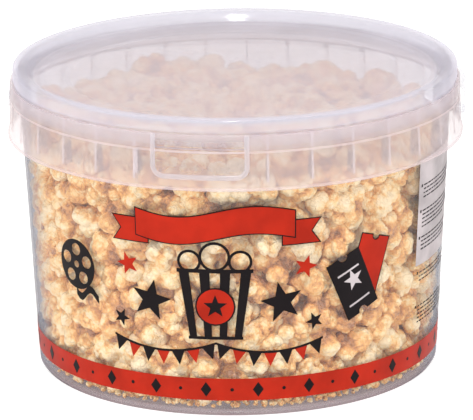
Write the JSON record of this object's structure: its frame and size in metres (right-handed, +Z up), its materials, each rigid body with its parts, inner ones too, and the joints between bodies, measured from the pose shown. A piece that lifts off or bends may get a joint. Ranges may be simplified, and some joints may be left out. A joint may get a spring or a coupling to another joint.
{
  "type": "bucket of popcorn",
  "caption": "Round clear plastic bucket filled with caramel popcorn, with a collar and tear tab, a milky push-fit lid and a thin bail handle folded round the back.",
  "frame": {"origin": "centre of the base, on the surface that the bucket stands on", "axes": "+Z up; the tear tab of the collar faces -Y; the handle's pivots lie on a line along X, and the handle rests round the +Y side"},
  "size_m": [0.2358, 0.2338, 0.1551],
  "materials": {
    "clear_plastic": "smooth clear polypropylene",
    "lid_plastic": "smooth milky polypropylene",
    "handle_plastic": "smooth clear polypropylene",
    "popped_corn": "puffed, pale cream with caramel patches",
    "red_print": "red print in the wall",
    "dark_print": "dark print in the wall",
    "pale_print": "thin pale print in the wall"
  },
  "bodies": {
    "tub": {"bucket": "clear_plastic", "lid": "lid_plastic", "popcorn": "popped_corn"},
    "bail": {"handle": "handle_plastic"}
  },
  "joints": [
    {"name": "handle_swing", "type": "hinge", "parent": "tub", "child": "bail", "pos_m": [0, 0, 0.134], "axis": [1, 0, 0], "range_deg": [0, 180]}
  ]
}
